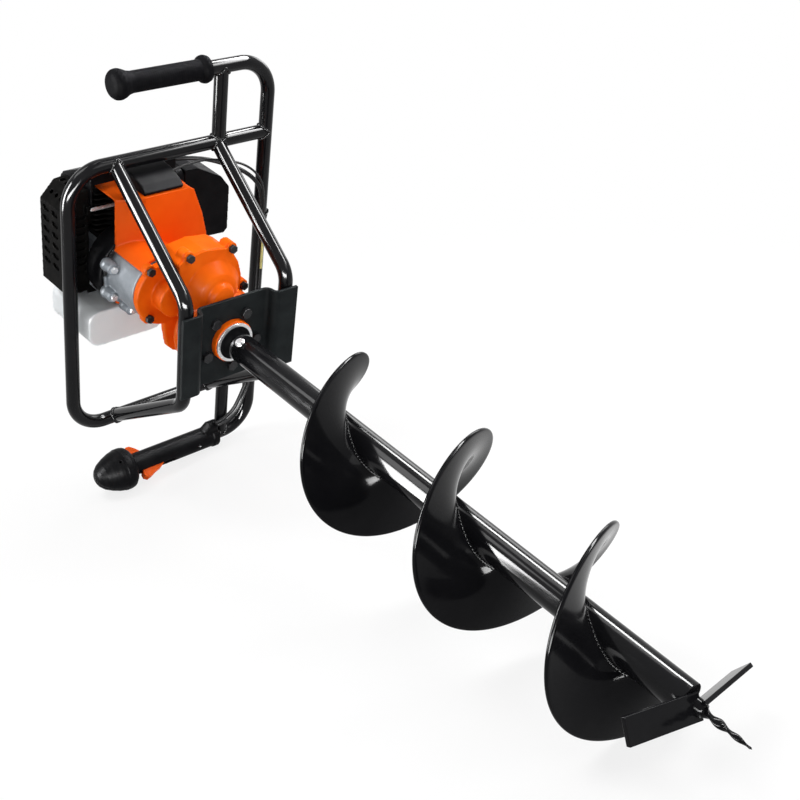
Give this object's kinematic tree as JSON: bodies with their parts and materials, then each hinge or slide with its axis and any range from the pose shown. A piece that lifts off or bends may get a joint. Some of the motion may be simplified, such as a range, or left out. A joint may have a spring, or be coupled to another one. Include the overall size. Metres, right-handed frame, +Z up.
{
  "type": "earth auger",
  "caption": "Hand-held earth auger: a small engine and gear case in a bent-tube frame with two grips drive a long helical bit with cutters and a pilot point.",
  "frame": {"origin": "centre of the bounding box in plan, at floor level, with the auger lying on its throttle handle and the edge of its flight", "axes": "+X along the length towards the tip of the bit, which points down a little, +Y across, away from the free ends of the grips, +Z up"},
  "size_m": [1.0762, 0.3522, 0.6237],
  "materials": {
    "black_tube": "gloss black paint on round steel tube",
    "flight_paint": "gloss black paint on steel plate",
    "plate_grey": "satin dark grey paint",
    "black_bolt": "black oxide",
    "orange_cast": "orange paint on cast alloy",
    "orange_plastic": "moulded orange",
    "silver_cast": "as cast",
    "steel": "turned and plated",
    "seal_rubber": "matt black",
    "black_plastic": "fine grain",
    "exhaust_black": "heat-proof matt black",
    "plug_white": "glazed ceramic",
    "foam": "open-cell foam",
    "tank_white": "translucent white, blow moulded",
    "cable_black": "sheathed cable",
    "wire_yellow": "sheathed wire"
  },
  "bodies": {
    "frame": {"handlebar": "black_tube", "loop_tube": "black_tube", "brace_left": "black_tube", "brace_right": "black_tube", "struts": "black_tube", "plate": "plate_grey", "plate_bolts": "black_bolt", "gear_case_front": "orange_cast", "gear_case_rear": "orange_cast", "gear_case_bolts": "black_bolt", "bearings": "steel", "boss_ring": "steel", "oil_seal": "seal_rubber", "clutch_housing": "silver_cast", "housing_bolts": "steel", "fan_housing": "black_plastic", "fan_shroud": "orange_plastic", "crankcase": "silver_cast", "cylinder": "exhaust_black", "spark_plug": "plug_white", "ignition_coil": "black_plastic", "engine_cover": "black_plastic", "muffler": "exhaust_black", "muffler_guard": "exhaust_black", "guard_stay": "steel", "carburettor": "silver_cast", "filter_base": "black_plastic", "filter_foam": "foam", "filter_cover": "black_plastic", "fuel_tank": "tank_white", "fuel_lines": "seal_rubber", "starter_case": "black_plastic", "rubber_grip": "seal_rubber", "throttle_upper": "black_plastic", "throttle_lower": "black_plastic", "handle_screws": "steel", "throttle_cable": "cable_black", "stop_wire": "wire_yellow", "cable_ties": "black_plastic"},
    "bit": {"drive_shaft": "steel", "drive_gear": "steel", "bit_tube": "black_tube", "flight": "flight_paint", "cutters": "flight_paint", "pilot_point": "flight_paint", "coupling_pin": "steel", "pin_clip": "steel"},
    "lay_gear": {"lay_shaft": "steel"},
    "drum": {"clutch_drum": "steel"},
    "crank": {"crankshaft": "steel", "flywheel": "steel", "clutch_shoes": "steel"},
    "pulley": {"starter_pulley": "black_plastic"},
    "pull_handle": {"starter_handle": "black_plastic"},
    "choke": {"choke_lever": "black_plastic"},
    "tank_cap": {"fuel_cap": "black_plastic"},
    "throttle_trigger": {"trigger": "orange_plastic"},
    "throttle_lock": {"lockout": "orange_plastic"}
  },
  "joints": [
    {"name": "bit_spin", "type": "hinge", "parent": "frame", "child": "bit", "pos_m": [-0.2516, -0.02043, 0.26983], "axis": [0.9684, -0.0214, -0.2486], "continuous": true},
    {"name": "lay_spin", "type": "hinge", "parent": "frame", "child": "lay_gear", "pos_m": [-0.27553, -0.0236, 0.33778], "axis": [0.9684, -0.0214, -0.2486], "continuous": true},
    {"name": "drum_spin", "type": "hinge", "parent": "frame", "child": "drum", "pos_m": [-0.32621, -0.0672, 0.34528], "axis": [0.9684, -0.0214, -0.2486], "continuous": true},
    {"name": "crank_spin", "type": "hinge", "parent": "frame", "child": "crank", "pos_m": [-0.44532, -0.06456, 0.37585], "axis": [0.9684, -0.0214, -0.2486], "continuous": true},
    {"name": "handle_pull", "type": "slide", "parent": "frame", "child": "pull_handle", "axis": [0, 0.9963, -0.0859], "range_m": [0, 0.45], "stiffness_N_per_m": 20, "springref_m": -0.15},
    {"name": "pulley_turn", "type": "hinge", "parent": "frame", "child": "pulley", "pos_m": [-0.50971, -0.06314, 0.39239], "axis": [-0.9684, 0.0214, 0.2486], "range_deg": [0, 700]},
    {"name": "choke_turn", "type": "hinge", "parent": "frame", "child": "choke", "pos_m": [-0.40575, 0.00666, 0.43012], "axis": [-0.9684, 0.0214, 0.2486], "range_deg": [0, 60]},
    {"name": "cap_turn", "type": "hinge", "parent": "frame", "child": "tank_cap", "pos_m": [-0.46658, -0.11929, 0.33396], "axis": [0.2495, 0.0832, 0.9648], "range_deg": [0, 90]},
    {"name": "trigger_squeeze", "type": "hinge", "parent": "frame", "child": "throttle_trigger", "pos_m": [-0.48883, -0.03777, 0.02225], "axis": [-0.7003, -0.0613, -0.7112], "range_deg": [0, 15], "stiffness_Nm_per_rad": 0.6, "springref_deg": -11.46},
    {"name": "lock_press", "type": "hinge", "parent": "frame", "child": "throttle_lock", "pos_m": [-0.5024, -0.06652, 0.03809], "axis": [0.7003, 0.0613, 0.7112], "range_deg": [0, 10], "stiffness_Nm_per_rad": 0.4, "springref_deg": -11.46}
  ],
  "couplings": [
    {"joint": "lay_spin", "follows": "bit_spin", "ratio": -5},
    {"joint": "drum_spin", "follows": "bit_spin", "ratio": 25},
    {"joint": "pulley_turn", "follows": "handle_pull", "rad_per_m": 25.641}
  ]
}
